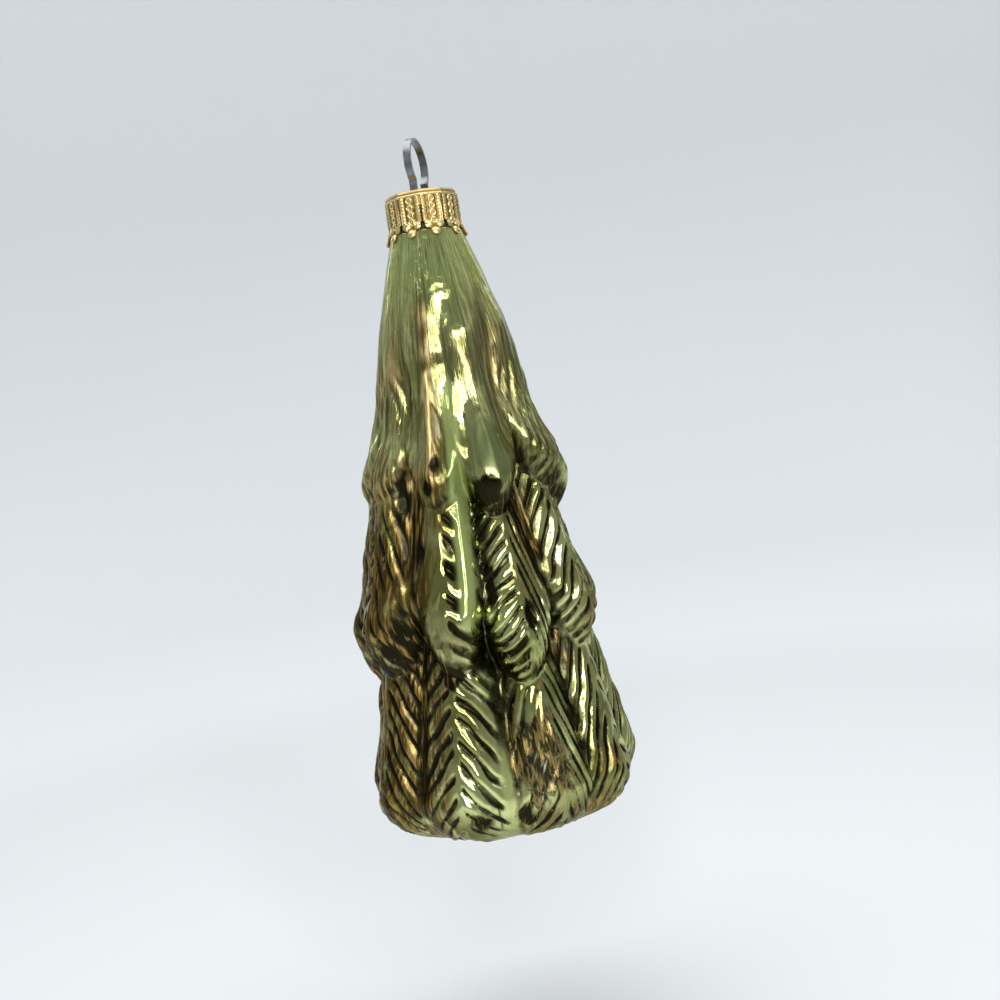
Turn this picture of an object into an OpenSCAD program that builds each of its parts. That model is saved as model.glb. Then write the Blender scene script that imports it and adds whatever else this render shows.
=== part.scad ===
// Mould-blown glass fir tree ornament with a stamped crown cap and a sprung strip hanger.
// Millimetres. +Z is up along the tree's axis, -Y is the front of the tree, and the origin
// is the centre of the hanging eye. Heights inside the modules count from the tree's base.

/* [Tree] */
// Height of the glass, from its base to the rim of its neck
glass_h = 78.1; // [62:0.1:120]
// Radius of the bough tips in each tier, from the base up
tip_r = [17, 16, 13.3, 8.5]; // [6:0.1:30]
// Sideways sway of each tier from the axis, from the base up
sway = [-0.2, -0.85, 0.2, 0.3]; // [-1.5:0.05:1.5]
// Depth of the valleys between the boughs of each tier, from the base up
valley = [2.1, 2, 1.6, 0.3]; // [0.2:0.1:3]
// Columns of boughs around the tree
columns = 9; // [6:1:12]
// Angle of the first column of boughs
first_column = -110; // [-180:1:180]
// Height of the lowest bough tips above the base
tip_z = 6.4; // [4:0.1:9]
// Length of the smooth crown between the highest tips and the neck
crown_len = 15.3; // [8:0.1:25]
// How full the crown is: 1 is a cone, more is a rounder shoulder
crown_bulge = 1.25; // [1:0.05:2]
// How far the boughs of each tier below the crown draw in from tip to root, from the base up
draw_in = [4, 4.4, 5.2]; // [2:0.1:7]
// How much the bough tips of each tier lift off what is below them, from the base up
tip_step = [0, 1.1, 1.6, 0.15]; // [0:0.05:2.5]
// How much higher a tip's edge is at the valleys than at its middle
tip_point = 4.5; // [0:0.1:8]
// Radius of the round foot that the base edge turns in to
foot_r = 9; // [5:0.5:12]
// Thickness of the glass
wall = 0.8; // [0.5:0.05:1]

/* [Neck] */
// Outer radius of the neck
neck_r = 4.05; // [3:0.05:6]
// Thickness of the neck's glass
neck_wall = 0.75; // [0.5:0.05:1]
// Length of the neck
neck_len = 4.6; // [4.4:0.1:8]
// Bevel on the neck's rim
rim_bevel = 0.4; // [0.3:0.05:0.6]

/* [Crown cap] */
// Thickness of the cap's sheet
cap_sheet = 0.22; // [0.15:0.01:0.3]
// Radial clearance between the cap and the neck
cap_clearance = 0.1; // [0.05:0.01:0.3]
// Bevel between the cap's top and its skirt
cap_bevel = 0.5; // [0.3:0.05:0.6]
// Length of the skirt above the petals
skirt_len = 4.3; // [2.5:0.1:4.5]
// Length of the petals
petal_len = 1.5; // [0.8:0.1:2]
// Clearance between the petals' ends and the glass under them
petal_clearance = 0.16; // [0.1:0.02:0.4]
// Petals around the skirt
petals = 10; // [6:1:16]
// How far the notches between petals reach into the skirt
notch_rise = 0.35; // [0.1:0.05:0.8]
// Angle of the first petal
first_petal = -111; // [-180:1:180]
// Radius and height of the bead on each petal's tip
bead_r = 0.36; // [0.25:0.01:0.4]

/* [Hanger] */
// Width of the hanger's strip
strip_w = 0.9; // [0.6:0.05:1.1]
// Thickness of the hanger's strip
strip_t = 0.35; // [0.2:0.05:0.5]
// Inner radius of the hanging eye
eye_r = 2.82; // [2.2:0.02:3.2]
// Angle that the eye is open at its foot
eye_gap = 88; // [80:1:90]
// Height of the eye's centre above the cap
eye_rise = 3.7; // [3.2:0.1:5]
// Clearance between the legs and the bore of the neck that they grip
leg_clearance = 0.08; // [0.05:0.01:0.2]
// Length of each leg below the waist
leg_len = 25; // [15:0.5:32]
// Turn of the hanger about the tree's axis
hanger_turn = 72; // [-180:1:180]
// Radial clearance between the hanger and the hole in the cap
hole_clearance = 0.1; // [0.05:0.01:0.3]

/* [Hidden] */

// Grid of the relief: points around, rings down the boughs, rings round the base edge
around = 80;
bough_rings = 38;
edge_rings = 5;
under_rings = 2;

tiers = len(tip_r);
neck_base = glass_h - neck_len;
neck_bore = neck_r - neck_wall;
tier_pitch = (neck_base - crown_len - tip_z) / (tiers - 1);
column_step = 360 / columns;
// The collar joins the relief to the neck: its overlap, its step outside and inside the neck's own wall
collar_depth = 0.5;
collar_step = 0.2;
collar_flare = 2.5;
// The base: how high its underside rises from the middle to the edge
base_dome = 0.3;
// How far a bough's root runs on above the tips of the next tier
root_over = 2;
// Height over which a bough's tip rounds off, and the soft width of the creases
tip_round = 2.6;
crease = 0.5;
// A bough swells just above its tip by this share of the tip's step
tip_swell = 0.35;

cap_top = glass_h + cap_sheet;
cap_r = neck_r + cap_clearance;
cap_foot = cap_top - skirt_len - petal_len;
petal_r = crest(tiers - 1, cap_foot) + petal_clearance;
// Each bead stands out of its petal's outer face, just above the petal's end
bead_rise = bead_r + 0.06;
bead_x = petal_r + cap_sheet / 2 - (petal_r - cap_r) * bead_rise / petal_len;
petal_flare = atan((petal_r - cap_r) / petal_len);
eye_z = cap_top + eye_rise;
strip_mid = eye_r + strip_t / 2;
// The legs are nearest each other at the waist below the eye, and splay from there to the foot of the bore
waist_x = strip_mid * sin(eye_gap / 2);
waist_z = eye_z - strip_mid * cos(eye_gap / 2);
grip_z = neck_base - collar_depth;
grip_x = sqrt(pow(neck_bore - collar_step - leg_clearance, 2) - pow(strip_w / 2, 2)) - strip_t / 2;
splay = atan((grip_x - waist_x) / (waist_z - grip_z));
// The legs' outer corners under the cap's sheet set the hole that they turn in
hole_x = waist_x + (waist_z - glass_h) * tan(splay) + strip_t / 2;
hole_r = norm([hole_x, strip_w / 2]) + hole_clearance;

function clamp01(x) = min(1, max(0, x));
function ease(x) = let (c = clamp01(x)) c * c * (3 - 2 * c);
function turn(a) = a - 360 * round(a / 360);
function soft_max(a, b) = let (h = max(0, crease - abs(a - b))) max(a, b) + h * h / (4 * crease);

// Hand-made unevenness of one bough, between -1 and 1: its kind picks angle, height or lift
function uneven(tier, column, kind) = sin(tier * 73 + column * 131 + kind * 57);

function tier_z(tier) = tip_z + tier * tier_pitch;

// Crest radius of a tier's boughs: the highest tier rises into the crown, the others lean in
// and are rooted under the tier above
function crest(tier, z) =
    tier == tiers - 1
        ? let (x = clamp01((neck_base - z) / crown_len), foot = neck_r + collar_step)
          foot + (tip_r[tier] - foot) * (1 - pow(1 - x, crown_bulge))
        : tip_r[tier] - draw_in[tier] * (z - tier_z(tier)) / tier_pitch
          - 0.05 * pow(max(0, z - tier_z(tier + 1) - root_over), 2);

// One bough's surface at an angle and height: crest, less its rounded flanks and its tip's fall
function bough(tier, column, a, z) =
    let (
        off = turn(a - first_column - column * column_step - 3 * uneven(tier, column, 0)),
        t = abs(off) / (column_step / 2),
        edge = tier_z(tier) + 1.2 * uneven(tier, column, 1) + tip_point * t * t,
        fade = ease((neck_base - z) / crown_len),
        lift = 0.3 * uneven(tier, column, 2),
        fall = 2 * pow(max(0, (edge + tip_round - z) / (2 * tip_round)), 2),
        swell = tip_swell * exp(-pow((z - edge - 3) / 2.5, 2))
    )
    crest(tier, z) + fade * (lift - valley[tier] * pow(t, 1.4) + tip_step[tier] * (swell - fall));

function nearest_column(a) = round((a - first_column) / column_step);

function tier_surface(tier, a, z) =
    let (k = nearest_column(a))
    max([for (side = [-1:1]) bough(tier, (k + side + columns) % columns, a, z)])
    + sway[tier] * cos(a) * ease((neck_base - z) / crown_len);

// Outer radius of the glass at an angle and height
function relief(a, z, tier = 0) =
    tier == tiers - 1
        ? tier_surface(tier, a, z)
        : soft_max(tier_surface(tier, a, z), relief(a, z, tier + 1));

// Inner radius of the glass: the relief less the wall, drawn in to the collar's bore
function hollow(a, z) =
    let (bore = neck_bore - collar_step, x = neck_base - z)
    bore + max(0, relief(a, z) - wall - bore) * ease((x - collar_depth) / collar_flare);

// Each function below gives [radius, height] at an angle on one row of the grid
function outer_station(a, i) =
    i <= bough_rings
        ? let (z = neck_base + (tip_z - neck_base) * i / bough_rings) [relief(a, z), z]
    : i <= bough_rings + edge_rings
        ? let (q = 90 * (i - bough_rings) / edge_rings, drop = tip_z - base_dome)
          [foot_r + (relief(a, tip_z) - foot_r) * cos(q), tip_z - drop * sin(q)]
    : let (q = 1 - (i - bough_rings - edge_rings) / (under_rings + 1))
      [foot_r * q, base_dome * q * q];

function inner_station(a, i) =
    i <= bough_rings
        ? let (z = neck_base + (tip_z - neck_base) * i / bough_rings) [hollow(a, z), z]
    : let (p = outer_station(a, i))
      i <= bough_rings + edge_rings
        ? let (q = 90 * (i - bough_rings) / edge_rings) [p[0] - wall * cos(q), p[1] + wall * sin(q)]
        : [p[0], p[1] + wall];

function point(station, a) = [station[0] * cos(a), station[0] * sin(a), station[1]];

module relief_shell() {
    rings = bough_rings + edge_rings + under_rings;
    outer_rows = [for (i = [0:rings]) i];
    // The hollow is smoother than the outside, so it takes every other row and the last one
    inner_rows = [for (i = [0:2:rings - 2]) i, rings - 1, rings];
    angles = [for (k = [0:around - 1]) 360 * k / around];
    outer = [for (i = outer_rows, a = angles) point(outer_station(a, i), a)];
    inner = [for (i = inner_rows, a = angles) point(inner_station(a, i), a)];
    n_out = len(outer);
    n_in = len(inner);
    points = concat(outer, inner, [[0, 0, 0], [0, 0, wall]]);
    function next(k) = (k + 1) % around;
    // Two triangles between row a and row b, which start at these points
    function band(a, b, k) = [[a + k, b + next(k), b + k], [a + k, a + next(k), b + next(k)]];
    outer_faces = [for (i = [0:len(outer_rows) - 2], k = [0:around - 1])
        each band(i * around, (i + 1) * around, k)];
    inner_faces = [for (i = [0:len(inner_rows) - 2], k = [0:around - 1])
        each band(n_out + (i + 1) * around, n_out + i * around, k)];
    collar_faces = [for (k = [0:around - 1])
        each [[k, n_out + next(k), next(k)], [k, n_out + k, n_out + next(k)]]];
    pole_faces = [for (k = [0:around - 1])
        each [[n_out - around + k, n_out - around + next(k), n_out + n_in],
              [n_out + n_in - around + k, n_out + n_in + 1, n_out + n_in - around + next(k)]]];
    polyhedron(points, concat(outer_faces, inner_faces, collar_faces, pole_faces));
}

// Silvered glass: the relief of boughs with the drawn neck that the cap sits on
module glass_tree() {
    color("olivedrab") union() {
        relief_shell();
        rotate_extrude()
            polygon([[neck_bore, neck_base - collar_depth], [neck_r, neck_base - collar_depth],
                     [neck_r, glass_h - rim_bevel], [neck_r - rim_bevel, glass_h], [neck_bore, glass_h]]);
    }
}

// The sheet of the cap before its petals are cut: top, bevel, skirt and flared foot
module cap_sheet_metal() {
    rotate_extrude()
        polygon([[hole_r, cap_top], [cap_r + cap_sheet - cap_bevel, cap_top],
                 [cap_r + cap_sheet, cap_top - cap_bevel], [cap_r + cap_sheet, cap_top - skirt_len],
                 [petal_r + cap_sheet, cap_foot], [petal_r, cap_foot],
                 [cap_r, cap_top - skirt_len], [cap_r, cap_top - cap_bevel],
                 [cap_r - cap_bevel + cap_sheet / 2, cap_top - cap_sheet], [hole_r, cap_top - cap_sheet]]);
}

// The wedge that parts two petals
module notch() {
    width = 0.85 * 2 * (petal_r + cap_sheet) * sin(180 / petals);
    rotate([90, 0, 90])
        linear_extrude(height = cap_r + 2)
            polygon([[0, cap_top - skirt_len + notch_rise],
                     [width / 2, cap_foot - 0.1], [-width / 2, cap_foot - 0.1]]);
}

module crown_cap() {
    color("goldenrod") union() {
        difference() {
            rotate(first_petal + 180 / petals) cap_sheet_metal();
            for (k = [0:petals - 1]) rotate(first_petal + (k + 0.5) * 360 / petals) notch();
        }
        for (k = [0:petals - 1])
            rotate(first_petal + k * 360 / petals)
                translate([bead_x, 0, cap_foot + bead_rise]) rotate([0, 90 - petal_flare, 0])
                    cylinder(h = bead_r + cap_sheet / 2, r1 = bead_r, r2 = bead_r / 2);
    }
}

// A wedge of the plane from the origin between two angles less than a half turn apart
module pie(from, to) {
    far = 4 * strip_mid;
    polygon([[0, 0], far * [cos(from), sin(from)], far * [cos((from + to) / 2), sin((from + to) / 2)],
             far * [cos(to), sin(to)]]);
}

// The strip seen edge on, bent about the origin
module bent_strip(mid) {
    difference() {
        circle(mid + strip_t / 2);
        circle(mid - strip_t / 2);
    }
}

// One leg seen edge on: the rounded bend at the waist, then the straight splayed spring
module leg() {
    translate([waist_x, waist_z - eye_z]) {
        circle(0.55 * strip_t);
        rotate(splay - 90) translate([0, -strip_t / 2]) square([leg_len, strip_t]);
    }
}

// Sprung steel strip: the hanging eye above the cap and the two legs that grip inside the neck
module hanger() {
    color("slategray")
        translate([0, 0, eye_z]) rotate([0, 0, hanger_turn]) rotate([90, 0, 0])
            linear_extrude(height = strip_w, center = true) {
                difference() {
                    bent_strip(strip_mid);
                    pie(-90 - eye_gap / 2, -90 + eye_gap / 2);
                }
                leg();
                mirror([1, 0]) leg();
            }
}

// Moves the tree so that the hanging eye is at the origin
module hung() {
    translate([0, 0, -eye_z]) children();
}

hung() glass_tree();
hung() crown_cap();
hung() hanger();
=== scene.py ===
"""Looks of the glass tree ornament: silvered green glass, a stamped gilt cap and a steel hanger."""
import math
from functools import reduce
from types import SimpleNamespace

import bpy
import numpy as np
from mathutils import Matrix, Vector, noise


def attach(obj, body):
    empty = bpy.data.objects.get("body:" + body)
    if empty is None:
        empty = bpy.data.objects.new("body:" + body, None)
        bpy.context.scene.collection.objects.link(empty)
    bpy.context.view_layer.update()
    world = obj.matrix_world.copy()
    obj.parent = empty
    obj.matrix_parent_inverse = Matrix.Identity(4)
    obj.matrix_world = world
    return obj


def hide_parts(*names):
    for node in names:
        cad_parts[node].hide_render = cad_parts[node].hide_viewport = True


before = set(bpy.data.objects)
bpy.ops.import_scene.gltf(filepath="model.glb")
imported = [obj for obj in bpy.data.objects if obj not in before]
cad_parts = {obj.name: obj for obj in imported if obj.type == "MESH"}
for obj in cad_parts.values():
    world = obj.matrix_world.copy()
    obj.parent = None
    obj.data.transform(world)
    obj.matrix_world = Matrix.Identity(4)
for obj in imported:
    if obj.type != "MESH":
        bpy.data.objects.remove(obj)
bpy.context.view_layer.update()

MM = 0.001

# Sizes of the part, in millimetres and degrees. Heights count from the tree's base, tiers from the base up.
GLASS_H = 78.1
TIP_R = [17.0, 16.0, 13.3, 8.5]
SWAY = [-0.2, -0.85, 0.2, 0.3]
VALLEY = [2.1, 2.0, 1.6, 0.3]
DRAW_IN = [4.0, 4.4, 5.2]
TIP_STEP = [0.0, 1.1, 1.6, 0.15]
COLUMNS = 9
FIRST_COLUMN = -110.0
TIP_Z = 6.4
CROWN_LEN = 15.3
CROWN_BULGE = 1.25
TIP_POINT = 4.5
FOOT_R = 9.0
WALL = 0.8
NECK_R = 4.05
NECK_WALL = 0.75
NECK_LEN = 4.6
RIM_BEVEL = 0.4
COLLAR_STEP = 0.2
BASE_DOME = 0.3
ROOT_OVER = 2.0
ROOT_FALL = 0.05
TIP_ROUND = 2.6
CREASE = 0.5
CROWN_CREASE = 2.4
CAP_SHEET = 0.22
CAP_CLEARANCE = 0.1
CAP_BEVEL = 0.5
CAP_HOLE = 2.63
SKIRT_LEN = 4.3
PETAL_LEN = 1.5
PETALS = 10
FIRST_PETAL = -111.0
PETAL_CLEARANCE = 0.16
EYE_RISE = 3.7

TIERS = len(TIP_R)
NECK_BASE = GLASS_H - NECK_LEN
NECK_BORE = NECK_R - NECK_WALL
TIER_PITCH = (NECK_BASE - CROWN_LEN - TIP_Z) / (TIERS - 1)
STEP = 360.0 / COLUMNS
CAP_TOP = GLASS_H + CAP_SHEET
EYE_Z = CAP_TOP + EYE_RISE

# How far a bough may be turned, its tip raised or lowered, and the bough lifted
COLUMN_SHIFT = 3.0
TIP_SHIFT = 1.2
BOUGH_LIFT = 0.3
# A bough swells above its tip: how much, how far up and over what length
TIP_SWELL = 0.35
SWELL_RISE = 3.0
SWELL_LEN = 2.5
# A bough's section: how its sides fall away, and how round its top is
SIDE_POWER = 0.7
TOP_ROUND = 0.03

# Grid of the glass: points around, rows down the boughs, round the base edge and under it
AROUND = 360
BOUGH_ROWS = 222
EDGE_ROWS = 24
UNDER_ROWS = 5

# How far things stand out of the plain boughs. A needle's level is its share that lies below them.
NEEDLE_HEIGHT = 0.58
NEEDLE_LEVEL = 0.52
MIDRIB_HEIGHT = 0.14
STEM_HEIGHT = 0.7
OVAL_HEIGHT = 0.5
LUMP_HEIGHT = 0.22
LOW_LUMP_HEIGHT = 0.1
DENT_DEPTH = 0.16
PIT_DEPTH = 0.32

# Needles of the front boughs, as (tier, column, side): pitch down the bough, slant, strength.
# Side 0 is left of the midrib. Other boughs draw theirs from the unevenness.
FRONT_NEEDLES = {
    (0, 0, 0): (2.5, 1.0, 0.95), (0, 0, 1): (2.6, 1.1, 1.15), (0, 1, 0): (3.4, 2.1, 1.1),
    (0, 1, 1): (3.4, 2.6, 0.8), (0, 2, 0): (3.0, 2.3, 0.9), (0, 8, 1): (2.3, 1.5, 0.9),
    (1, 0, 0): (3.2, 2.8, 0.3), (1, 0, 1): (3.1, 1.0, 0.9), (1, 1, 0): (1.8, 0.75, 1.0),
    (1, 1, 1): (3.3, 3.6, 0.7), (1, 2, 0): (2.4, 1.6, 1.0), (1, 2, 1): (2.3, 1.2, 1.0),
    (1, 8, 1): (3.2, 2.6, 0.5),
    (2, 0, 0): (3.0, 3.4, 0.2), (2, 0, 1): (3.0, 2.6, 0.15), (2, 1, 0): (3.0, 2.0, 0.05),
    (2, 1, 1): (3.2, 3.0, 0.15), (2, 2, 0): (3.2, 3.6, 0.4), (2, 8, 1): (3.2, 3.0, 0.25),
}

# Spots of the front: degrees from the front, height, half width in degrees, half height, strength
OVAL = (16.0, 46.0, 10.5, 5.7, 1.6)
DAB = (15.0, 10.5, 11.5, 5.2, 1.0)
PITS = [
    (-44.0, 41.0, 3.4, 2.2, 1.3), (-30.0, 35.5, 3.0, 1.0, 1.3), (-44.0, 26.0, 3.2, 1.9, 1.3),
    (-51.0, 24.0, 2.4, 1.1, 1.3), (21.0, 26.7, 3.2, 1.7, 1.3), (-20.0, 42.8, 3.0, 1.0, 1.3),
    (-16.0, 45.3, 3.0, 0.9, 1.3),
]
BLACK_SPOTS = [
    (5.0, 31.0, 4.0, 4.5, 1.0), (-19.0, 21.0, 7.0, 2.0, 1.0), (5.0, 4.0, 4.0, 2.0, 1.0),
    (-13.0, 4.5, 5.0, 2.0, 0.85), (11.5, 41.6, 8.0, 2.3, 1.2),
]
BROWN_SPOTS = [
    (-20.0, 24.5, 9.0, 2.2, 0.9), (60.0, 25.0, 10.0, 4.5, 0.9), (40.0, 57.0, 20.0, 10.0, 0.82),
    (-50.0, 57.0, 16.0, 7.0, 0.85),
]
PALE_SPOTS = [(-4.0, 1.5, 7.0, 1.2, 0.7), (-1.0, 8.5, 3.0, 4.0, 0.75)]

# The smooth stem of the front: its ends, its way across the front, and its half width
STEM_TOP, STEM_FOOT = 58.0, 25.0
STEM_FROM, STEM_DRIFT = -1.0, 6.0 / 32.0
STEM_WIDTH = 1.0


def ease(x):
    """Goes smoothly from 0 to 1 as x does, and stays there."""
    c = np.clip(x, 0.0, 1.0)
    return c * c * (3.0 - 2.0 * c)


def turn(a):
    """The same angle between -180 and 180 degrees."""
    return a - 360.0 * np.round(a / 360.0)


def bell(x, middle, width):
    """1 in the middle, falling to nothing on both sides."""
    return np.exp(-((x - middle) / width) ** 2)


def soft_max(a, b, crease):
    """The larger of two, with the crease between them filled."""
    h = np.maximum(0.0, crease - np.abs(a - b))
    return np.maximum(a, b) + h * h / (4 * crease)


def uneven(tier, column, kind):
    """A fixed unevenness between -1 and 1 for each bough and each kind of thing."""
    return np.sin(np.radians(tier * 73.0 + column * 131.0 + kind * 57.0))


def spots(places, front, z):
    """The strongest of several soft spots at each point."""
    fields = []
    for at, level, wide, tall, power in places:
        fields.append(power * bell(front, at, wide) * bell(z, level, tall))
    return np.max(fields, 0)


def fine_noise(points, scale, seed):
    """Smooth noise between -1 and 1 at points given in millimetres."""
    shift = Vector((seed * 7.13, seed * 3.71, seed * 5.37))
    return np.array([noise.noise(Vector(p) * scale + shift) for p in points])


def blur(field, across, along):
    """Smooths a field on the grid: it wraps around the tree and stops at the ends."""
    for _ in range(2):
        total = field.copy()
        for k in range(1, across + 1):
            total += np.roll(field, k, 1) + np.roll(field, -k, 1)
        field = total / (2 * across + 1)
        padded = np.pad(field, ((along, along), (0, 0)), "edge")
        sums = np.cumsum(np.vstack([np.zeros((1, field.shape[1])), padded]), 0)
        field = (sums[2 * along + 1:] - sums[:-2 * along - 1]) / (2 * along + 1)
    return field


def crest(tier, z):
    """Radius of a tier along the middle of a bough."""
    if tier == TIERS - 1:
        x = np.clip((NECK_BASE - z) / CROWN_LEN, 0.0, 1.0)
        foot = NECK_R + COLLAR_STEP
        return foot + (TIP_R[tier] - foot) * (1.0 - (1.0 - x) ** CROWN_BULGE)
    rise = z - TIP_Z - tier * TIER_PITCH
    over = np.maximum(0.0, rise - TIER_PITCH - ROOT_OVER)
    return TIP_R[tier] - DRAW_IN[tier] * rise / TIER_PITCH - ROOT_FALL * over ** 2


def relief(a, z):
    """Radius of the plain boughs at angles and heights, and where each point lies on its bough."""
    fade = ease((NECK_BASE - z) / CROWN_LEN)
    nearest = np.round((a - FIRST_COLUMN) / STEP)
    nowhere = np.full(a.shape, -1e9)
    best, second = nowhere, nowhere
    local = {key: np.zeros(a.shape) for key in ("u", "v", "t", "tier", "column")}
    surfaces = []
    for tier in range(TIERS):
        top, joined = nowhere, nowhere
        here = {key: np.zeros(a.shape) for key in local}
        for side in (-1, 0, 1):
            column = np.mod(nearest + side, COLUMNS)
            off = turn(a - FIRST_COLUMN - column * STEP - COLUMN_SHIFT * uneven(tier, column, 0))
            t = np.abs(off) / (STEP / 2)
            tip = TIP_Z + tier * TIER_PITCH + TIP_SHIFT * uneven(tier, column, 1)
            edge = tip + TIP_POINT * t * t
            fall = 2.0 * np.maximum(0.0, (edge + TIP_ROUND - z) / (2 * TIP_ROUND)) ** 2
            swell = TIP_SWELL * bell(z, edge + SWELL_RISE, SWELL_LEN)
            lift = BOUGH_LIFT * uneven(tier, column, 2)
            side_fall = (t * t + TOP_ROUND) ** SIDE_POWER - TOP_ROUND ** SIDE_POWER
            out = lift - VALLEY[tier] * side_fall + TIP_STEP[tier] * (swell - fall)
            r = crest(tier, z) + fade * out
            won = r > top
            top = np.where(won, r, top)
            joined = soft_max(joined, r, CREASE)
            # u runs across a bough and v up it from its tip, in millimetres. t is 0 on the midrib and
            # 1 half a step beside it, in the valley.
            place = {"u": np.radians(off) * r, "v": z - tip, "t": t, "tier": tier + 0 * t, "column": column}
            for key, value in place.items():
                here[key] = np.where(won, value, here[key])
        sway = SWAY[tier] * np.cos(np.radians(a)) * fade
        top = top + sway
        surfaces.append(joined + sway)
        won = top > best
        second = np.where(won, best, np.maximum(second, top))
        best = np.where(won, top, best)
        for key in local:
            local[key] = np.where(won, here[key], local[key])
    # The crown runs smoothly into the tier below it, and the lower tiers meet in creases
    r = surfaces[-1]
    for tier in reversed(range(TIERS - 1)):
        r = soft_max(r, surfaces[tier], CROWN_CREASE if tier == TIERS - 2 else CREASE)
    return r, fade, local, best - second


def needles(fade, local, gap, wobble):
    """Height of the needles, how strongly each point carries them, and the midribs."""
    u, v, t, tier, column = (local[key] for key in ("u", "v", "t", "tier", "column"))
    w = np.abs(u)
    side = (u > 0) * 1.0
    half = column * 2 + side
    steep = 0.6 * (tier >= 2)
    pitch = 2.4 + 0.4 * uneven(tier, half, 4) + steep
    slant = 1.35 + 0.7 * uneven(tier, half, 5) + 1.3 * steep
    power = 0.85 + 0.2 * uneven(tier, half, 7) - 0.8 * steep
    for (front_tier, front_column, front_side), values in FRONT_NEEDLES.items():
        here = (tier == front_tier) & (column == front_column) & (side == front_side)
        pitch, slant, power = (np.where(here, new, old) for new, old in zip(values, (pitch, slant, power)))
    phase = (v + slant * w + 0.04 * w * w + 0.8 * wobble) / pitch + 0.5 * uneven(tier, half, 6)
    number = np.floor(phase)
    across = phase - number
    # A needle's section is round on top, with a round groove to the next, and no two are alike
    ridge = 1.0 - np.abs(2.0 * across ** 0.9 - 1.0) ** 2.0
    ridge = 1.34 * (np.sqrt(ridge ** 2 + 0.09) - 0.3)
    ridge = ridge * (0.95 + 0.3 * uneven(tier, half, 2.3 * number))
    # Needles fade at the midrib, under the next bough, in the valley, at the tip and here and there
    strength = power * ease((w - 0.05) / 0.6) * ease((gap + 0.1) / 0.8)
    strength = strength * (0.4 + 0.6 * ease((1.1 - t) / 0.35))
    strength = strength * (0.75 + 0.25 * ease((v + 1.0) / 2.5)) * (0.6 + 0.4 * ease(0.7 + 1.6 * wobble))
    top_tier = tier == TIERS - 1
    strength = np.where(top_tier, 0.12 * strength, strength)
    midrib = bell(w, 0.0, 0.4) * ease((v + 0.5) / 2.0) * ease((gap + 0.1) / 0.5)
    midrib = np.where(top_tier, 0.2 * midrib, midrib)
    return ridge, strength * fade, midrib * fade


def mesh_object(name, points, faces):
    """A new object in the scene, shaded smooth."""
    mesh = bpy.data.meshes.new(name)
    mesh.from_pydata([tuple(p) for p in points], [], faces)
    mesh.update()
    mesh.shade_smooth()
    obj = bpy.data.objects.new(name, mesh)
    bpy.context.scene.collection.objects.link(obj)
    return obj


def put_attribute(mesh, name, values, kind="FLOAT"):
    """Gives each point of a mesh a value that its material can read."""
    attribute = mesh.attributes.new(name, kind, "POINT")
    key = "value" if kind == "FLOAT" else "vector"
    attribute.data.foreach_set(key, np.asarray(values, np.float32).ravel())


def lathe_points(radii, angle, levels):
    """Points of a lathed grid, in millimetres from the middle of the eye."""
    around = np.radians(np.broadcast_to(angle, radii.shape))
    points = np.stack([radii * np.cos(around), radii * np.sin(around), levels - EYE_Z], -1)
    return points.reshape(-1, 3)


def lathe_faces(rows, around, height=None):
    """Quads of a lathed grid. Where heights are given, each quad's split runs along the relief."""
    faces = []
    for i in range(rows - 1):
        for k in range(around):
            m = (k + 1) % around
            a, b = i * around + k, i * around + m
            quad = (a, a + around, b + around, b)
            if height is not None:
                one_way, other_way = height[i, k] - height[i + 1, m], height[i + 1, k] - height[i, m]
                if abs(other_way) < abs(one_way):
                    quad = quad[1:] + quad[:1]
            faces.append(quad)
    return faces


def extend(field):
    """Carries a field's lowest row on over the base edge and the underside."""
    return np.vstack([field, np.repeat(field[-1:], EDGE_ROWS + UNDER_ROWS, 0)])


def plain_glass():
    """Rows of the plain glass from its neck to its underside, and where each point lies on its bough."""
    angle = np.arange(AROUND) * 360.0 / AROUND
    a, z = np.meshgrid(angle, np.linspace(NECK_BASE - 0.02, TIP_Z, BOUGH_ROWS))
    r, fade, local, gap = relief(a, z)

    # Below the bough tips the edge turns in to the round foot, and then comes the underside
    quarter = np.concatenate([np.arange(1, EDGE_ROWS + 1) / EDGE_ROWS, np.ones(UNDER_ROWS)])
    quarter = quarter[:, None] * math.pi / 2
    inward = 1 - np.arange(1, UNDER_ROWS + 1) / (UNDER_ROWS + 1.0)
    inward = np.concatenate([np.ones(EDGE_ROWS), inward])[:, None]
    edge_r = (FOOT_R + (r[-1:] - FOOT_R) * np.cos(quarter)) * inward
    edge_z = TIP_Z - (TIP_Z - BASE_DOME) * np.sin(quarter)
    edge_z = np.where(inward < 1, BASE_DOME * inward ** 2, edge_z) + 0 * edge_r
    step_r = np.diff(np.vstack([r[-1:], edge_r]), axis=0)
    step_z = np.diff(np.vstack([z[-1:], edge_z]), axis=0)

    def stacked(boughs, edge):
        return np.vstack([boughs + 0 * r, edge + 0 * edge_r])

    grid = SimpleNamespace(angle=angle, a=extend(a), fade=extend(fade), gap=extend(gap))
    grid.front = turn(grid.a + 90.0)
    grid.r, grid.z = stacked(r, edge_r), stacked(z, edge_z)
    grid.local = {key: extend(value) for key, value in local.items()}
    grid.local["u"] = grid.local["u"] * stacked(1.0, edge_r / r[-1:])
    grid.local["v"][BOUGH_ROWS:] -= np.cumsum(np.hypot(step_r, step_z), 0)
    # How much of the relief is kept towards the foot, and which way it stands out
    grid.keep = stacked(1.0, np.cos(quarter) ** 0.45)
    grid.out_r, grid.out_z = stacked(1.0, np.cos(quarter)), stacked(0.0, -np.sin(quarter))
    return grid


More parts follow.
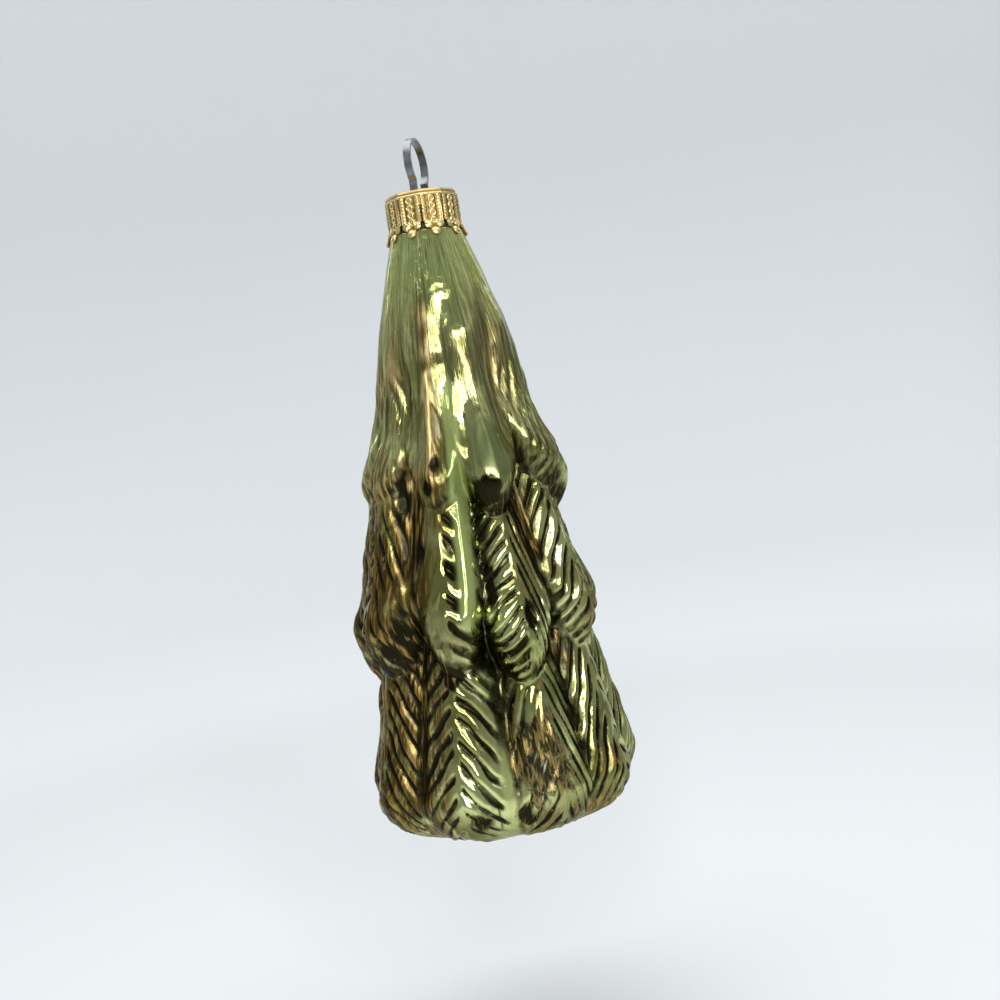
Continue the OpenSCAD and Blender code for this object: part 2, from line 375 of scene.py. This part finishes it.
def add_relief(grid):
    """Needles, midribs, lumps and pits, and the smooth stem and the smooth oval bough of the front."""
    front, r, z, keep = grid.front, grid.r, grid.z, grid.keep
    around = np.radians(grid.a)
    plain = np.stack([r * np.cos(around), r * np.sin(around), z], -1).reshape(-1, 3)

    def lumps(stretch, scale, seed):
        return fine_noise(plain * [1, 1, stretch], scale, seed).reshape(r.shape)

    wobble = lumps(1, 0.3, 1)
    lump = lumps(0.7, 0.28, 2)
    dent = lumps(0.35, 0.6, 3)
    grid.shade = lumps(1, 0.16, 4)
    ridge, strength, midrib = needles(grid.fade, grid.local, grid.gap, wobble)

    # The stem lies in the valley at the front, and the bough to its right is the oval
    across = np.radians(front - STEM_FROM + STEM_DRIFT * (STEM_TOP - z)) * r
    grid.stem = bell(across, 0.0, STEM_WIDTH) * ease((z - STEM_FOOT) / 3.0) * ease((STEM_TOP - z) / 6.0)
    grid.oval = ease(spots([OVAL], front, z) - 0.2)
    grid.dab = spots([DAB], front, z)
    # Needles keep off both, and are faint under the daub of gold
    clear = (1 - np.clip(1.3 * grid.stem, 0, 1)) * (1 - np.clip(1.1 * grid.oval, 0, 1))
    grid.strength = strength * clear * (1 - 0.75 * grid.dab) * keep

    height = NEEDLE_HEIGHT * grid.strength * (ridge - NEEDLE_LEVEL) + MIDRIB_HEIGHT * midrib * keep
    height = height + STEM_HEIGHT * grid.stem + OVAL_HEIGHT * grid.oval
    low = ease((52.0 - z) / 14.0)
    height = height + keep * grid.fade * ((LUMP_HEIGHT + LOW_LUMP_HEIGHT * low) * lump + DENT_DEPTH * dent)
    height = height - PIT_DEPTH * spots(PITS, front, z)
    # Neighbouring boughs meet softly at the bottom of their valley
    height = height + ease((grid.local["t"] - 0.8) / 0.2) * (blur(height, 2, 2) - height)
    grid.height = height
    grid.whole = r + height
    grid.r = r + height * grid.out_r
    grid.z = z + np.minimum(0.4, height) * grid.out_z * keep
    grid.z[BOUGH_ROWS:] = np.maximum(grid.z[BOUGH_ROWS:], 0.0)


def paint_masks(grid):
    """Where the lacquer lies, where the brush went, and where shade is painted into grooves, hollows and
    undersides.
    """
    front, z = grid.front, grid.z
    boughs = grid.whole[:BOUGH_ROWS]
    # Grooves, hollows and downward slopes, which the glass material darkens with painted shade
    groove = np.clip((blur(grid.height, 4, 4) - grid.height) / 0.22, -1, 1)
    hollow = extend(np.clip((blur(boughs, 14, 14) - boughs) / 1.3, -1, 1)) * (0.3 + 0.7 * grid.keep)
    slope = np.gradient(boughs, axis=0) / np.gradient(z[:BOUGH_ROWS], axis=0)
    under = extend(np.clip(1.2 * slope, -1, 1)) * grid.keep

    # Brown lies in patches, on the left side, in a streak beside the stem and round the base edge. On the
    # left side and the base edge it is partly a painted dark reflection.
    zone = np.clip(0.2 + 1.5 * grid.shade, 0, 0.75) * ease((66.0 - z) / 12.0)
    left_side_lacquer_and_reflection = ease((-18.0 - front) / 10.0) * ease((front + 130.0) / 30.0) * ease((52.0 - z) / 10.0)
    streak = 0.95 * bell(front, -16.0, 9.0) * ease((z - 34.0) / 6.0) * ease((69.0 - z) / 6.0)
    base_edge_lacquer_and_reflection = 0.85 * ease((6.5 - z) / 3.0) * (1 - bell(front, -3.0, 13.0))
    for brown in (left_side_lacquer_and_reflection, streak, base_edge_lacquer_and_reflection, spots(BROWN_SPOTS, front, z)):
        zone = np.maximum(zone, brown)
    zone = zone * (1 - np.clip(grid.stem + grid.oval, 0, 1))
    return {
        "groove": groove, "hollow": hollow, "under": under, "zone": zone,
        "pale": np.maximum(grid.stem, spots(PALE_SPOTS, front, z)),
        "black": spots(BLACK_SPOTS + PITS, front, z),
        "carry": np.clip(grid.strength, 0, 1), "shade": grid.shade, "dab": grid.dab, "oval": grid.oval,
    }


def inner_profile(grid):
    """The mirror film that lines the hollow, from the neck down, as (radius, height)."""
    reach = 7.0
    levels = grid.z[:BOUGH_ROWS, 0]
    film = []
    for level in [NECK_BASE - 1.5, NECK_BASE - 4.0] + list(range(62, 7, -6)):
        # The narrowest place near each level, so that the film stays below the valleys
        near = np.abs(levels - level) < reach
        film.append((max(NECK_BORE, grid.r[:BOUGH_ROWS][near].min() - WALL), level))
    floor = BASE_DOME + WALL
    return film + [(film[-1][0] * 0.85, 3.2), (FOOT_R - 0.5, floor + 0.1), (0.5, floor)]


def build_glass():
    """The silvered glass: its outside, its neck and the mirror film that lines it."""
    grid = plain_glass()
    add_relief(grid)
    masks = paint_masks(grid)
    film = inner_profile(grid)

    # One surface: up the film, up the neck's bore, over its bevelled rim and down the outside
    neck = [(NECK_BORE, NECK_BASE), (NECK_BORE, GLASS_H), (NECK_R - RIM_BEVEL, GLASS_H),
            (NECK_R, GLASS_H - RIM_BEVEL), (NECK_R, GLASS_H - RIM_BEVEL - 0.3),
            (NECK_R, NECK_BASE + 1.5), (NECK_R, NECK_BASE)]
    lead = np.array(film[::-1] + neck)
    blank = np.zeros((len(lead), AROUND))
    radii = np.vstack([blank + lead[:, :1], grid.r])
    levels = np.vstack([blank + lead[:, 1:], grid.z])
    points = lathe_points(radii, grid.angle, levels)
    faces = lathe_faces(len(radii), AROUND, np.vstack([blank, grid.height]))
    # Fans close the underside and the film's floor
    under_middle, film_middle = len(points), len(points) + 1
    last_row = under_middle - AROUND
    points = np.vstack([points, [[0, 0, -EYE_Z]], [[0, 0, BASE_DOME + WALL - EYE_Z]]])
    faces += [(last_row + (k + 1) % AROUND, last_row + k, under_middle) for k in range(AROUND)]
    faces += [(k, (k + 1) % AROUND, film_middle) for k in range(AROUND)]
    obj = mesh_object("glass_tree_silvered", points * MM, faces)

    for name, field in masks.items():
        values = np.append(np.vstack([blank, field]).ravel(), [field[-1].mean(), 0])
        put_attribute(obj.data, name, values)
    up = np.append(levels.ravel(), [0, 0])
    put_attribute(obj.data, "up", up)
    # Brush coordinates: round the tree on a circle, so that the marks have no seam, and up it
    brush_r = 10.0
    way = np.radians(turn(np.broadcast_to(grid.angle, radii.shape) + 90.0))
    way = np.append(way.ravel(), [0, 0])
    brush = np.stack([np.sin(way) * brush_r, np.cos(way) * brush_r, up], -1)
    put_attribute(obj.data, "brush", brush, "FLOAT_VECTOR")

    # The film's faces take the second material
    index = np.zeros(len(obj.data.polygons), np.int32)
    index[:len(film) * AROUND] = 1
    index[-AROUND:] = 1
    obj.data.polygons.foreach_set("material_index", index)
    return obj


class Nodes:
    """A small helper that adds shader nodes and joins them."""

    def __init__(self, tree):
        self.tree = tree
        tree.nodes.clear()

    def add(self, kind, inputs=None, **settings):
        node = self.tree.nodes.new(kind)
        for key, value in settings.items():
            setattr(node, key, value)
        for key, value in (inputs or {}).items():
            socket = node.inputs[key]
            if hasattr(value, "is_output"):
                self.tree.links.new(value, socket)
            else:
                socket.default_value = value
        return node

    def attribute(self, name, output="Fac"):
        return self.add("ShaderNodeAttribute", attribute_name=name).outputs[output]

    def place(self):
        return self.add("ShaderNodeTexCoord").outputs["Object"]

    def math(self, operation, values):
        """Joins two or more values in turn, from the first to the last."""
        def join(a, b):
            return self.add("ShaderNodeMath", {0: a, 1: b}, operation=operation).outputs[0]
        return reduce(join, values)

    def times(self, *values):
        return self.math("MULTIPLY", values)

    def plus(self, *values):
        return self.math("ADD", values)

    def minus(self, *values):
        return self.math("SUBTRACT", values)

    def most(self, *values):
        return self.math("MAXIMUM", values)

    def ramp(self, value, low, high, to_low=0.0, to_high=1.0):
        inputs = {0: value, 1: low, 2: high, 3: to_low, 4: to_high}
        return self.add("ShaderNodeMapRange", inputs, interpolation_type="SMOOTHSTEP").outputs[0]

    def mix(self, factor, a, b):
        return self.add("ShaderNodeMix", {0: factor, 6: a, 7: b}, data_type="RGBA").outputs[2]

    def noise(self, vector, scale, detail=3.0, rough=0.55, distortion=0.0):
        inputs = {"Vector": vector, "Scale": scale, "Detail": detail,
                  "Roughness": rough, "Distortion": distortion}
        return self.add("ShaderNodeTexNoise", inputs).outputs[0]

    def bump(self, strength, distance, height):
        inputs = {"Strength": strength, "Distance": distance, "Height": height}
        return self.add("ShaderNodeBump", inputs).outputs[0]

    def surface(self, inputs):
        """The material's shader, joined to its output."""
        shader = self.add("ShaderNodeBsdfPrincipled", inputs)
        self.add("ShaderNodeOutputMaterial", {"Surface": shader.outputs[0]})


def new_material(name):
    """An empty node material, and the helper that fills it."""
    material = bpy.data.materials.new(name)
    material.use_nodes = True
    return material, Nodes(material.node_tree)


# Colours of the lacquer on the glass; BLACK also serves for painted shade
GREEN_DARK = (0.285, 0.308, 0.077, 1)
GREEN_LIGHT = (0.7, 0.755, 0.305, 1)
CROWN_GREEN = (0.38, 0.46, 0.155, 1)
MARK_GREEN = (0.09, 0.095, 0.022, 1)
LINE_BROWN = (0.1, 0.08, 0.022, 1)
STREAK_GREEN = (0.56, 0.6, 0.28, 1)
# BROWN is partly brown lacquer and partly a painted dark reflection on the left side and round the base
# edge
BROWN = (0.065, 0.035, 0.004, 1)
BLACK = (0.01, 0.0085, 0.002, 1)
GOLD_LOW = (0.36, 0.225, 0.052, 1)
GOLD_HIGH = (0.6, 0.46, 0.2, 1)
DAB_DARK = (0.03, 0.027, 0.008, 1)
DAB_GOLD = (0.3, 0.22, 0.07, 1)
OVAL_GREEN = (0.085, 0.105, 0.045, 1)
STEM_GREEN = (0.3, 0.37, 0.12, 1)
EDGE_TINT = (0.4, 0.38, 0.24, 1)


def glass_material():
    material, n = new_material("silvered_green_glass")
    place = n.place()
    brush = n.attribute("brush", "Vector")
    masks = ("groove", "hollow", "under", "zone", "pale", "black", "carry", "shade", "dab", "oval", "up")
    fields = [n.attribute(name) for name in masks]
    groove, hollow, under, zone, pale, black, carry, shade, dab, oval, up = fields

    patches = n.noise(place, 150.0, 3.0)
    blotch = n.noise(place, 420.0, 4.0, 0.6, 0.6)
    lumps = n.noise(place, 380.0, 2.0)
    fine = n.noise(place, 1100.0, 3.0)

    def drawn(across, along, scale, detail, distortion):
        """Noise drawn out along the brush's way."""
        at = n.add("ShaderNodeVectorMath", {0: brush, 1: (across, across, along)}, operation="MULTIPLY")
        return n.noise(at.outputs[0], scale, detail, 0.62, distortion)

    streaks = drawn(1.0, 0.09, 1.3, 4.0, 0.4)
    thin = drawn(3.0, 0.14, 1.4, 3.0, 0.2)
    dashes = drawn(2.4, 0.35, 1.3, 3.0, 0.6)

    # Silvered green, lighter and darker here and there
    upper = n.ramp(up, 36.0, 50.0)
    crown = n.ramp(up, 58.0, 68.0)
    colour = n.mix(n.ramp(patches, 0.35, 0.65), GREEN_DARK, GREEN_LIGHT)
    colour = n.mix(n.times(crown, 0.75), colour, CROWN_GREEN)

    # Brush marks run down the upper part: darker green and brown between pale green
    marks = n.times(upper, n.ramp(streaks, 0.46, 0.6), n.ramp(crown, 0.0, 1.0, 1.0, 0.3))
    colour = n.mix(n.times(marks, 0.66), colour, MARK_GREEN)
    lines = n.times(upper, n.ramp(thin, 0.47, 0.36), n.ramp(patches, 0.4, 0.6, 0.25, 0.85))
    colour = n.mix(lines, colour, LINE_BROWN)
    light = n.times(upper, n.ramp(thin, 0.52, 0.66), 0.65)
    colour = n.mix(light, colour, STREAK_GREEN)

    # Brown lacquer lies over the zones, broken by the brush; on the left side and round the base edge it is
    # partly a painted dark reflection
    brush_and_blotch = n.plus(n.times(streaks, 0.6), n.times(blotch, 0.4))
    brown = n.times(zone, n.ramp(brush_and_blotch, 0.34, 0.5))
    colour = n.mix(n.times(brown, 0.95), colour, BROWN)

    # Painted shade darkens the grooves, hollows, undersides and pits, and the dark spots are black, but not
    # on the stem
    uneven_coat = n.times(n.minus(blotch, 0.5), 1.3)
    painted_shade_and_spots = n.times(n.ramp(groove, -0.2, 0.7), n.ramp(carry, 0.1, 0.5, 0.0, 0.85))
    painted_shade_and_spots = n.most(painted_shade_and_spots, n.ramp(hollow, 0.05, 0.6, 0.0, 0.8), n.ramp(under, 0.05, 0.7, 0.0, 0.75))
    painted_shade_and_spots = n.plus(painted_shade_and_spots, n.plus(uneven_coat, n.ramp(shade, -0.3, 0.35, 0.0, 0.2)))
    painted_shade_and_spots = n.times(n.ramp(painted_shade_and_spots, 0.15, 0.95), n.ramp(up, 54.0, 44.0, 0.1, 1.0))
    painted_shade_and_spots = n.most(painted_shade_and_spots, n.ramp(n.plus(black, uneven_coat), 0.35, 0.7))
    painted_shade_and_spots = n.times(painted_shade_and_spots, n.ramp(pale, 0.1, 0.5, 1.0, 0.0))
    colour = n.mix(n.times(painted_shade_and_spots, 0.985), colour, BLACK)

    # Gold is dry-brushed over what stands out, and daubed in one place
    brushed = n.plus(thin, n.times(upper, n.ramp(zone, 0.6, 0.95, 0.04, 0.16)))
    rub = n.times(zone, n.times(n.ramp(brushed, 0.48, 0.61), n.ramp(groove, 0.3, -0.2)))
    colour = n.mix(n.times(rub, 0.85), colour, n.mix(upper, GOLD_LOW, GOLD_HIGH))
    broken = n.times(n.minus(n.plus(blotch, dashes), 1.0), 1.5)
    daubed = n.ramp(n.plus(dab, broken), 0.3, 0.5)
    colour = n.mix(daubed, colour, n.mix(n.ramp(dashes, 0.47, 0.57), DAB_DARK, DAB_GOLD))

    # The oval bough is one smooth grey green, and the stem one pale green
    smooth = n.times(n.ramp(oval, 0.55, 0.95), n.ramp(black, 0.2, 0.6, 1.0, 0.0))
    colour = n.mix(n.times(smooth, 0.9), colour, OVAL_GREEN)
    stem = n.ramp(pale, 0.25, 0.7)
    colour = n.mix(n.times(stem, 0.8), colour, STEM_GREEN)

    # Thick lacquer hides the mirror, and brushed lacquer, the painted shade and the dark spots are less
    # glossy
    rough = n.plus(n.ramp(marks, 0.0, 1.0, 0.085, 0.2), n.times(n.most(brown, rub), 0.2))
    rough = n.plus(rough, n.plus(n.ramp(up, 9.0, 4.0, 0.0, 0.2), n.times(painted_shade_and_spots, 0.1)))
    rough = n.plus(rough, n.times(n.most(smooth, n.times(daubed, 0.5)), 0.25))
    opaque = n.most(n.times(stem, 1.2), n.times(crown, 0.4), n.times(daubed, 0.5), n.times(brown, 0.5))
    opaque = n.most(opaque, rub, smooth)
    metal = n.minus(0.96, n.times(opaque, 0.45))
    dull = n.most(painted_shade_and_spots, smooth, n.times(brown, 0.85), n.times(upper, 0.5))
    height = n.plus(lumps, n.times(thin, n.times(upper, 0.5)), n.times(fine, 0.12))
    n.surface({
        "Base Color": colour, "Metallic": metal, "Roughness": rough, "Specular Tint": EDGE_TINT,
        "Normal": n.bump(n.ramp(smooth, 0.0, 1.0, 0.35, 0.05), 0.0003, height),
        "Coat Weight": n.minus(0.7, n.times(dull, 0.63)), "Coat Roughness": 0.03, "Coat IOR": 1.5,
    })
    return material


def film_material():
    material, n = new_material("mirror_film")
    silver, worn = (0.72, 0.72, 0.7, 1), (0.42, 0.41, 0.38, 1)
    wear = n.ramp(n.noise(n.place(), 500.0, 4.0), 0.45, 0.75)
    rough = n.ramp(wear, 0.0, 1.0, 0.18, 0.4)
    n.surface({"Base Color": n.mix(wear, silver, worn), "Metallic": 1.0, "Roughness": rough})
    return material


def gilt_material():
    material, n = new_material("gilt_sheet")
    shaded_hollow_gilt, raised_gilt = (0.33, 0.2, 0.045, 1), (0.86, 0.71, 0.335, 1)
    tarnished, slit_shade = (0.5, 0.32, 0.09, 1), (0.02, 0.012, 0.004, 1)
    place = n.place()
    emboss = n.attribute("emboss")
    tarnish = n.noise(place, 700.0, 4.0)
    fine = n.noise(place, 3000.0, 2.0)
    # Painted shade: the gilt is darker in the hollows of the stamping than on its raised relief
    colour = n.mix(n.ramp(emboss, 0.0, 0.7), shaded_hollow_gilt, raised_gilt)
    colour = n.mix(n.times(n.ramp(tarnish, 0.52, 0.75), 0.45), colour, tarnished)
    # The slits between the petals are painted near black, as painted shade
    colour = n.mix(n.attribute("slit"), colour, slit_shade)
    rough = n.plus(n.ramp(tarnish, 0.35, 0.7, 0.22, 0.38), n.ramp(emboss, 0.0, 0.6, 0.15, 0.0))
    bump = n.bump(0.3, 0.00005, fine)
    n.surface({"Base Color": colour, "Metallic": 1.0, "Roughness": rough, "Normal": bump})
    return material


def steel_material():
    material, n = new_material("dulled_spring_steel")
    bare, dulled = (0.3, 0.31, 0.325, 1), (0.16, 0.165, 0.17, 1)
    place = n.place()
    grain = n.noise(place, 1500.0, 3.0)
    colour = n.mix(n.ramp(n.noise(place, 450.0, 3.0), 0.4, 0.7), bare, dulled)
    rough = n.ramp(grain, 0.3, 0.7, 0.25, 0.42)
    bump = n.bump(0.2, 0.00003, grain)
    n.surface({"Base Color": colour, "Metallic": 1.0, "Roughness": rough, "Normal": bump})
    return material


# Grid of the cap: points around a petal, rows down its outside and up its inside
PETAL_POINTS = 46
CAP_ROWS = 96
CAP_INNER_ROWS = 8

# The cap's top is crowned a little: the radius where it is highest, and by how much
CROWNED_R = 3.3
CROWNED_RISE = 0.02

# Stamped relief of a petal's panel, measured from its middle and down from the cap's top
EMBOSS_HEIGHT = 0.19
SLIT_DEPTH = 0.1
BALL_R, LOBE_R, LOBE_X = 0.5, 0.46, 0.64
CORD_X, CORD_WIDTH, CORD_LAY = 0.97, 0.29, 0.4
RING_R, FIRST_RING, RING_PITCH = 0.31, 1.35, 0.86
BALL_AT = SKIRT_LEN + PETAL_LEN - BALL_R
LOBE_AT = SKIRT_LEN + 0.12


def round_foot(x, depth, radius):
    """The lower edge of a disc whose middle lies at a depth, and 0 beside it."""
    return np.where(np.abs(x) < radius, depth + np.sqrt(np.maximum(0.0, radius ** 2 - x ** 2)), 0.0)


def petal_foot(x):
    """How far below the cap's top the sheet reaches, at a distance from a petal's middle."""
    w = np.abs(x)
    lobes = np.maximum(round_foot(w, BALL_AT, BALL_R), round_foot(w - LOBE_X, LOBE_AT, LOBE_R))
    return np.maximum(lobes, SKIRT_LEN - 0.3)


def dome(x, y, radius):
    """A round bump: 1 in its middle and 0 from its radius on."""
    return np.sqrt(np.maximum(0.0, 1 - (x / radius) ** 2 - (y / radius) ** 2))


def stamped(x, depth):
    """Rope cords at a panel's sides, a chain of rings down its middle, lobes and a ball at its foot."""
    w = np.abs(x)
    twist = 0.78 + 0.22 * np.cos(2 * math.pi * (depth + 0.7 * w) / CORD_LAY)
    cord = np.sqrt(np.maximum(0.0, 1 - ((w - CORD_X) / CORD_WIDTH) ** 2)) * twist
    emboss = 0.85 * cord * ease((depth - 0.7) / 0.2)
    for level in np.arange(FIRST_RING, SKIRT_LEN - 0.3, RING_PITCH):
        away = np.hypot(x, depth - level)
        emboss = np.maximum(emboss, 0.95 * bell(away, RING_R, 0.13))
        emboss = np.maximum(emboss, 0.6 * bell(away, 0.0, 0.1))
    emboss = np.maximum(emboss, 0.75 * bell(depth, 0.75, 0.13))
    emboss = np.maximum(emboss, 1.35 * dome(w - LOBE_X, depth - LOBE_AT + 0.05, LOBE_R))
    return np.maximum(emboss, 1.5 * dome(x, depth - BALL_AT, BALL_R))


def build_cap():
    """The stamped cap: its top, its petals with their relief, and the inside of its sheet."""
    around = PETALS * PETAL_POINTS
    petal_step = 360.0 / PETALS
    skirt_r = NECK_R + CAP_CLEARANCE + CAP_SHEET
    foot_z = CAP_TOP - SKIRT_LEN - PETAL_LEN
    petal_r = float(crest(TIERS - 1, np.array(foot_z))) + PETAL_CLEARANCE + CAP_SHEET
    angle = np.arange(around) * 360.0 / around
    off = turn(angle - FIRST_PETAL - np.round((angle - FIRST_PETAL) / petal_step) * petal_step)
    x = np.radians(off) * skirt_r
    foot = petal_foot(x)
    # Each petal's panel is nearly flat, so the skirt has ten soft corners
    corner = 1 + 0.75 * (1 / np.cos(np.radians(off)) - 1)

    def depths(shares):
        return CAP_BEVEL + shares[:, None] * (foot[None] - CAP_BEVEL)

    def flared(depth):
        return skirt_r + (petal_r - skirt_r) * np.clip((depth - SKIRT_LEN) / PETAL_LEN, 0, 1)

    def ring(radius):
        return radius * (1 + (corner[None] - 1) * ease((radius - CAP_HOLE) / (skirt_r - CAP_HOLE)))

    depth = depths(np.linspace(0, 1, CAP_ROWS))
    across = np.broadcast_to(x, depth.shape)
    emboss = stamped(across, depth)
    # A shallow slit runs down between the petals, which the gilt paints near black as shade
    slit = bell(math.pi * skirt_r / PETALS - np.abs(across), 0.0, 0.07) * ease((depth - 1.9) / 0.5)
    r_out = (flared(depth) + EMBOSS_HEIGHT * emboss - SLIT_DEPTH * slit) * corner
    depth_in = depths(np.linspace(1, 0, CAP_INNER_ROWS))
    r_in = (flared(depth_in) - CAP_SHEET) * corner

    # Rings of the top, as (radius, height), from the hole out over the bevel, and back under the sheet
    top = [(CAP_HOLE, CAP_TOP - CAP_SHEET), (CAP_HOLE, CAP_TOP - 0.04), (CAP_HOLE + 0.05, CAP_TOP),
           (CROWNED_R, CAP_TOP + CROWNED_RISE), (skirt_r - CAP_BEVEL - 0.1, CAP_TOP),
           (skirt_r - CAP_BEVEL * 0.7, CAP_TOP - 0.06), (skirt_r - CAP_BEVEL * 0.3, CAP_TOP - 0.2),
           (skirt_r - 0.06, CAP_TOP - 0.36)]
    under = [(skirt_r - CAP_SHEET - 0.2, CAP_TOP - CAP_SHEET - 0.1), (CAP_HOLE, CAP_TOP - CAP_SHEET)]
    ones = np.ones((1, around))
    inner, top_rows, under_rows = 0 * r_in, [ones] * len(top), [0 * ones] * len(under)
    radii = np.vstack([ring(r) for r, z in top] + [r_out, r_in] + [ring(r) for r, z in under])
    top_z, under_z = [z * ones for r, z in top], [z * ones for r, z in under]
    levels = np.vstack(top_z + [CAP_TOP - depth, CAP_TOP - depth_in] + under_z)
    raised = np.vstack([0.3 * row for row in top_rows] + [np.clip(emboss, 0, 1), inner] + under_rows)
    slits = np.vstack([0 * row for row in top_rows] + [slit, inner] + under_rows)
    points = lathe_points(radii, angle, levels)
    obj = mesh_object("crown_cap_stamped", points * MM, lathe_faces(len(radii), around))
    put_attribute(obj.data, "emboss", raised)
    put_attribute(obj.data, "slit", slits)
    return obj


glass = build_glass()
glass.data.materials.append(glass_material())
glass.data.materials.append(film_material())
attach(glass, "tree")
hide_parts("glass_tree")

cap = build_cap()
cap.data.materials.append(gilt_material())
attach(cap, "cap")
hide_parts("crown_cap")

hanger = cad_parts["hanger"]
hanger.data.materials.clear()
hanger.data.materials.append(steel_material())

# The stage, in metres. The ornament hangs: the floor lies one pull below it, so that the glass
# can be drawn off its cap.
FLOOR_DROP = 0.0265
FLOOR_FLAT_R = 0.45
FLOOR_CURVE_R = 0.25
BACKDROP_H = 0.4
FLOOR_PAINTED_SHADE = (0.33, 0.34, 0.35, 1)
FLOOR_PALE = (0.71, 0.735, 0.75, 1)


def build_floor():
    """A pale floor that curves up into a backdrop, which is pale behind the tree and painted greyer
    elsewhere, as shade.
    """
    around, curve_rows = 180, 12
    base = -EYE_Z * MM - FLOOR_DROP
    profile = [(r, 0.0) for r in (0.06, 0.12, 0.18, 0.25, 0.35, FLOOR_FLAT_R)]
    for i in range(1, curve_rows + 1):
        q = math.pi / 2 * i / curve_rows
        profile.append((FLOOR_FLAT_R + FLOOR_CURVE_R * math.sin(q), FLOOR_CURVE_R * (1 - math.cos(q))))
    profile.append((FLOOR_FLAT_R + FLOOR_CURVE_R, BACKDROP_H))

    # Share of the backdrop's full height: whole behind and left, part of it at the front right
    angle = np.arange(around) * 360.0 / around
    rise = np.maximum(0.06, ease((88.0 - np.abs(turn(angle - 135.0))) / 15.0))
    rise = np.maximum(rise, 0.7 * ease((60.0 - np.abs(turn(angle + 45.0))) / 20.0))
    # Where the stage is pale: all the way up behind the tree, and within reach of it on the floor;
    # elsewhere it is painted grey as shade
    behind = ease((84.0 - np.abs(turn(angle - 90.0))) / 40.0)
    reach = 0.24 + 0.18 * ease(np.sin(np.radians(angle)) + 0.5)

    points, painted_light_share = [(0, 0, base)], [1.0]
    for r, z in profile:
        for k in range(around):
            q = math.radians(angle[k])
            points.append((r * math.cos(q), r * math.sin(q), base + z * rise[k]))
            near = ease((reach[k] - r) / (reach[k] - 0.07))
            painted_light_share.append(max(behind[k] * ease((r - 0.1) / 0.1), near))
    faces = [(0, 1 + k, 1 + (k + 1) % around) for k in range(around)]
    for i in range(len(profile) - 1):
        for k in range(around):
            a, b = 1 + i * around + k, 1 + i * around + (k + 1) % around
            faces.append((a, a + around, b + around, b))
    obj = mesh_object("floor", points, faces)
    put_attribute(obj.data, "painted_light_share", painted_light_share)

    material, n = new_material("pale_floor")
    # Pale near and behind the tree, painted grey as shade elsewhere
    colour = n.mix(n.attribute("painted_light_share"), FLOOR_PAINTED_SHADE, FLOOR_PALE)
    n.surface({"Base Color": colour, "Roughness": 0.9, "Specular IOR Level": 0.1})
    obj.data.materials.append(material)


build_floor()

# Lamps: name, azimuth from the camera's side, elevation, distance, width, height, radiance.
# Four bright bars and a dim pane make a window at the front.
LAMP_AIM = (0.0, 0.0, -0.045)
LAMPS = [
    ("window_left", -8, 27, 0.55, 0.09, 0.19, 9.5),
    ("window_right", 23, 27, 0.55, 0.06, 0.19, 9.5),
    ("window_top", 7, 35, 0.55, 0.34, 0.045, 8.0),
    ("window_sill", 7, 17, 0.55, 0.36, 0.07, 8.5),
    ("window_pane", 8, 27, 0.56, 0.28, 0.16, 1.0),
    ("back_left", 219, 27, 0.6, 0.05, 0.18, 6.0),
    ("back_right", 138, 27, 0.6, 0.05, 0.18, 6.0),
    ("right_light", 82, 36, 0.65, 0.25, 0.3, 0.6),
    ("left_light", -85, 36, 0.65, 0.25, 0.3, 0.3),
    ("top_light", 180, 80, 0.75, 1.0, 0.9, 2.05),
]


def softbox(name, azimuth, elevation, distance, width, height, radiance):
    """An area lamp that faces the middle of the tree."""
    a, e = math.radians(azimuth), math.radians(elevation)
    way = Vector((math.sin(a) * math.cos(e), -math.cos(a) * math.cos(e), math.sin(e)))
    lamp = bpy.data.lights.new(name, "AREA")
    lamp.shape, lamp.size, lamp.size_y = "RECTANGLE", width, height
    lamp.energy = radiance * math.pi * width * height
    obj = bpy.data.objects.new(name, lamp)
    obj.location = Vector(LAMP_AIM) + way * distance
    obj.rotation_mode = "QUATERNION"
    obj.rotation_quaternion = (-way).to_track_quat("-Z", "Y")
    bpy.context.scene.collection.objects.link(obj)


for lamp_values in LAMPS:
    softbox(*lamp_values)

world = bpy.data.worlds.new("studio")
bpy.context.scene.world = world
world.use_nodes = True
sky_nodes = Nodes(world.node_tree)
sky = sky_nodes.add("ShaderNodeBackground", {"Color": (0.9, 0.95, 1.0, 1), "Strength": 0.28})
sky_nodes.add("ShaderNodeOutputWorld", {"Surface": sky.outputs[0]})

# The camera, in millimetres, degrees and pixels of the picture: near the tree, a little above its middle,
# and rolled so that the tree leans as photographed
DISTANCE, EYE_LEVEL = 155.0, 48.5
PITCH, YAW, ROLL = 3.3, 1.53, 8.5
FOCAL_PX, PICTURE_PX, SENSOR = 1240.0, 1000.0, 36.0
camera_data = bpy.data.cameras.new("camera")
camera_data.sensor_width = SENSOR
camera_data.lens = SENSOR * FOCAL_PX / PICTURE_PX
camera_data.clip_start, camera_data.clip_end = 0.005, 10.0
camera = bpy.data.objects.new("camera", camera_data)
bpy.context.scene.collection.objects.link(camera)
turned = Matrix.Identity(4)
for axis, degrees in (("Z", -YAW), ("X", 90.0 - PITCH), ("Z", -ROLL)):
    turned = turned @ Matrix.Rotation(math.radians(degrees), 4, axis)
camera.matrix_world = Matrix.Translation(Vector((0, -DISTANCE, EYE_LEVEL - EYE_Z)) * MM) @ turned
bpy.context.scene.camera = camera

bpy.context.scene.view_settings.view_transform = "Standard"
